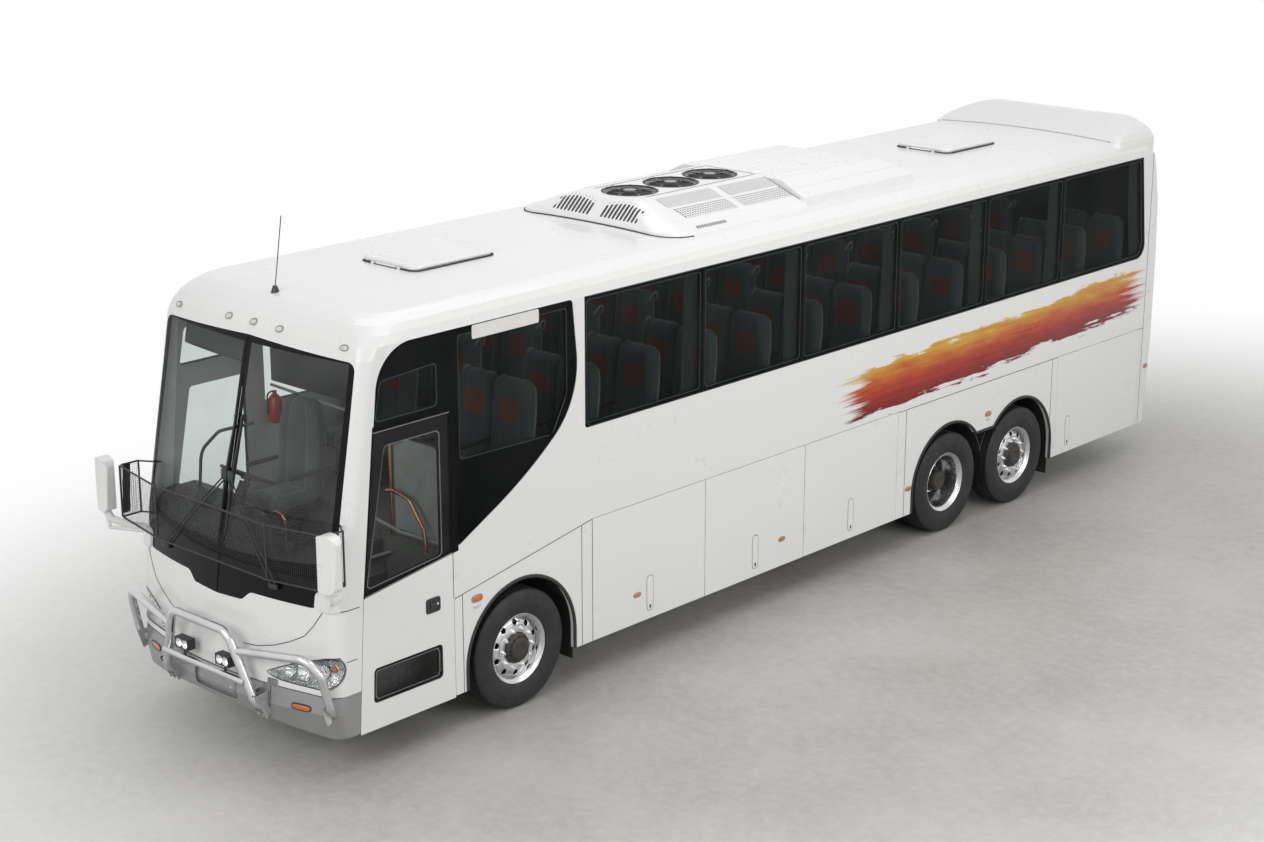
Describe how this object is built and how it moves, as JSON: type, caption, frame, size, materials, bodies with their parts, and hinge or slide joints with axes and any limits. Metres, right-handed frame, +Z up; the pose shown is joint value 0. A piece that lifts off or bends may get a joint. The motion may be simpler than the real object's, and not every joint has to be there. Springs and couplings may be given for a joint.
{
  "type": "coach bus",
  "caption": "Three-axle touring coach with opening entrance door, luggage doors, steered front wheels, rolling wheels, roof hatches and spinning condenser fans.",
  "frame": {"origin": "on the ground below the middle of the coach's overall length and width", "axes": "+X to the coach's left (entrance door side), -Y towards its front, +Z up"},
  "size_m": [3.0546, 12.452, 4.2304],
  "materials": {
    "body_paint": "gloss",
    "bumper_paint": "satin",
    "polished_alloy": "polished",
    "clear_glass": "clear",
    "tinted_glass": "tinted",
    "lamp_lens": "clear",
    "black_metal": "satin",
    "mirror_shell": "gloss",
    "dash_plastic": "matte",
    "seat_fabric": "woven",
    "curtain_fabric": "woven",
    "chassis_paint": "satin",
    "floor_lining": "matte",
    "arch_rubber": "matte",
    "tyre_rubber": "matte",
    "engine_iron": "cast"
  },
  "bodies": {
    "root": {"underframe": "chassis_paint", "luggage_bays": "chassis_paint", "driver_seat": "seat_fabric", "cabin_floor": "floor_lining", "left_wall": "body_paint", "right_wall": "body_paint", "roof": "body_paint", "front_panel": "body_paint", "rear_panel": "body_paint", "bumper": "bumper_paint", "bull_bar": "polished_alloy", "windscreen": "clear_glass", "side_windows": "tinted_glass", "lamps": "lamp_lens", "wipers": "black_metal", "stone_guard": "black_metal", "mirrors": "mirror_shell", "dashboard": "dash_plastic", "seats": "seat_fabric", "curtains": "curtain_fabric", "roof_unit": "body_paint", "rear_spoiler": "body_paint", "antenna": "black_metal", "wheel_arches": "arch_rubber", "front_axle": "chassis_paint", "rear_axles": "chassis_paint", "engine": "engine_iron"},
    "door_arm": {"door_arm": "black_metal"},
    "entrance_door": {"entrance_door": "body_paint", "door_glass": "tinted_glass"},
    "engine_door": {"engine_door": "body_paint"},
    "roof_hatch_front": {"roof_hatch_front": "body_paint"},
    "roof_hatch_rear": {"roof_hatch_rear": "body_paint"},
    "track_rod": {"track_rod": "chassis_paint"},
    "steering_wheel": {"steering_wheel": "dash_plastic"},
    "luggage_door_1_left": {"luggage_door_1_left": "body_paint"},
    "luggage_door_1_right": {"luggage_door_1_right": "body_paint"},
    "luggage_door_2_left": {"luggage_door_2_left": "body_paint"},
    "luggage_door_2_right": {"luggage_door_2_right": "body_paint"},
    "luggage_door_3_left": {"luggage_door_3_left": "body_paint"},
    "luggage_door_3_right": {"luggage_door_3_right": "body_paint"},
    "engine_flap_left": {"engine_flap_left": "body_paint"},
    "engine_flap_right": {"engine_flap_right": "body_paint"},
    "condenser_fan_1": {"condenser_fan_1": "black_metal"},
    "condenser_fan_2": {"condenser_fan_2": "black_metal"},
    "condenser_fan_3": {"condenser_fan_3": "black_metal"},
    "knuckle_left": {"knuckle_left": "chassis_paint"},
    "knuckle_right": {"knuckle_right": "chassis_paint"},
    "front_wheel_left": {"front_tyre_left": "tyre_rubber", "front_rim_left": "polished_alloy"},
    "front_wheel_right": {"front_tyre_right": "tyre_rubber", "front_rim_right": "polished_alloy"},
    "drive_wheels_left": {"drive_tyres_left": "tyre_rubber", "drive_rim_left": "polished_alloy"},
    "drive_wheels_right": {"drive_tyres_right": "tyre_rubber", "drive_rim_right": "polished_alloy"},
    "tag_wheel_left": {"tag_tyre_left": "tyre_rubber", "tag_rim_left": "polished_alloy"},
    "tag_wheel_right": {"tag_tyre_right": "tyre_rubber", "tag_rim_right": "polished_alloy"}
  },
  "joints": [
    {"name": "door_arm_swing", "type": "hinge", "parent": "root", "child": "door_arm", "pos_m": [1.13, -5.42, 1.2], "axis": [0, 0, -1], "range_deg": [0, 95]},
    {"name": "door_swing", "type": "hinge", "parent": "door_arm", "child": "entrance_door", "pos_m": [1.13, -4.8, 1.2], "axis": [0, 0, -1], "range_deg": [-95, 0]},
    {"name": "luggage_door_1_left_swing", "type": "hinge", "parent": "root", "child": "luggage_door_1_left", "pos_m": [1.242, -2.245, 1.454], "axis": [0, -1, 0], "range_deg": [0, 90]},
    {"name": "luggage_door_1_right_swing", "type": "hinge", "parent": "root", "child": "luggage_door_1_right", "pos_m": [-1.242, -2.245, 1.454], "axis": [0, 1, 0], "range_deg": [0, 90]},
    {"name": "luggage_door_2_left_swing", "type": "hinge", "parent": "root", "child": "luggage_door_2_left", "pos_m": [1.242, -0.798, 1.454], "axis": [0, -1, 0], "range_deg": [0, 90]},
    {"name": "luggage_door_2_right_swing", "type": "hinge", "parent": "root", "child": "luggage_door_2_right", "pos_m": [-1.242, -0.798, 1.454], "axis": [0, 1, 0], "range_deg": [0, 90]},
    {"name": "luggage_door_3_left_swing", "type": "hinge", "parent": "root", "child": "luggage_door_3_left", "pos_m": [1.242, 0.647, 1.454], "axis": [0, -1, 0], "range_deg": [0, 90]},
    {"name": "luggage_door_3_right_swing", "type": "hinge", "parent": "root", "child": "luggage_door_3_right", "pos_m": [-1.242, 0.647, 1.454], "axis": [0, 1, 0], "range_deg": [0, 90]},
    {"name": "engine_flap_left_swing", "type": "hinge", "parent": "root", "child": "engine_flap_left", "pos_m": [1.242, 5.06, 1.454], "axis": [0, -1, 0], "range_deg": [0, 90]},
    {"name": "engine_flap_right_swing", "type": "hinge", "parent": "root", "child": "engine_flap_right", "pos_m": [-1.242, 5.06, 1.454], "axis": [0, 1, 0], "range_deg": [0, 90]},
    {"name": "engine_door_swing", "type": "hinge", "parent": "root", "child": "engine_door", "pos_m": [0, 6.218, 1.756], "axis": [1, 0, 0], "range_deg": [0, 90]},
    {"name": "roof_hatch_front_swing", "type": "hinge", "parent": "root", "child": "roof_hatch_front", "pos_m": [0, -4.12, 3.674], "axis": [1, 0, 0], "range_deg": [0, 35]},
    {"name": "roof_hatch_rear_swing", "type": "hinge", "parent": "root", "child": "roof_hatch_rear", "pos_m": [0, 3.325, 3.674], "axis": [1, 0, 0], "range_deg": [0, 35]},
    {"name": "condenser_fan_1_spin", "type": "hinge", "parent": "root", "child": "condenser_fan_1", "pos_m": [0, -1.16, 3.83], "axis": [0, 0, 1], "continuous": true},
    {"name": "condenser_fan_2_spin", "type": "hinge", "parent": "root", "child": "condenser_fan_2", "pos_m": [0, -0.6, 3.83], "axis": [0, 0, 1], "continuous": true},
    {"name": "condenser_fan_3_spin", "type": "hinge", "parent": "root", "child": "condenser_fan_3", "pos_m": [0, -0.05, 3.83], "axis": [0, 0, 1], "continuous": true},
    {"name": "steer_left", "type": "hinge", "parent": "root", "child": "knuckle_left", "pos_m": [0.88, -3.83, 0.522], "axis": [0, 0, 1], "range_deg": [-38, 38]},
    {"name": "steer_right", "type": "hinge", "parent": "root", "child": "knuckle_right", "pos_m": [-0.88, -3.83, 0.522], "axis": [0, 0, 1], "range_deg": [-38, 38]},
    {"name": "track_rod_swing", "type": "hinge", "parent": "knuckle_left", "child": "track_rod", "pos_m": [0.88, -3.58, 0.405], "axis": [0, 0, 1], "range_deg": [-38, 38]},
    {"name": "steering_wheel_turn", "type": "hinge", "parent": "root", "child": "steering_wheel", "pos_m": [-0.64, -5.15, 1.96], "axis": [0, 0.4695, 0.8829], "range_deg": [-640, 640]},
    {"name": "front_roll_left", "type": "hinge", "parent": "knuckle_left", "child": "front_wheel_left", "pos_m": [1.085, -3.83, 0.522], "axis": [1, 0, 0], "continuous": true},
    {"name": "front_roll_right", "type": "hinge", "parent": "knuckle_right", "child": "front_wheel_right", "pos_m": [-1.085, -3.83, 0.522], "axis": [1, 0, 0], "continuous": true},
    {"name": "drive_roll_left", "type": "hinge", "parent": "root", "child": "drive_wheels_left", "pos_m": [1.085, 2.27, 0.522], "axis": [1, 0, 0], "continuous": true},
    {"name": "drive_roll_right", "type": "hinge", "parent": "root", "child": "drive_wheels_right", "pos_m": [-1.085, 2.27, 0.522], "axis": [1, 0, 0], "continuous": true},
    {"name": "tag_roll_left", "type": "hinge", "parent": "root", "child": "tag_wheel_left", "pos_m": [1.085, 3.52, 0.522], "axis": [1, 0, 0], "continuous": true},
    {"name": "tag_roll_right", "type": "hinge", "parent": "root", "child": "tag_wheel_right", "pos_m": [-1.085, 3.52, 0.522], "axis": [1, 0, 0], "continuous": true}
  ],
  "couplings": [
    {"joint": "door_swing", "follows": "door_arm_swing", "ratio": -1},
    {"joint": "steer_right", "follows": "steer_left", "ratio": 1},
    {"joint": "track_rod_swing", "follows": "steer_left", "ratio": -1},
    {"joint": "steering_wheel_turn", "follows": "steer_left", "ratio": 16}
  ]
}
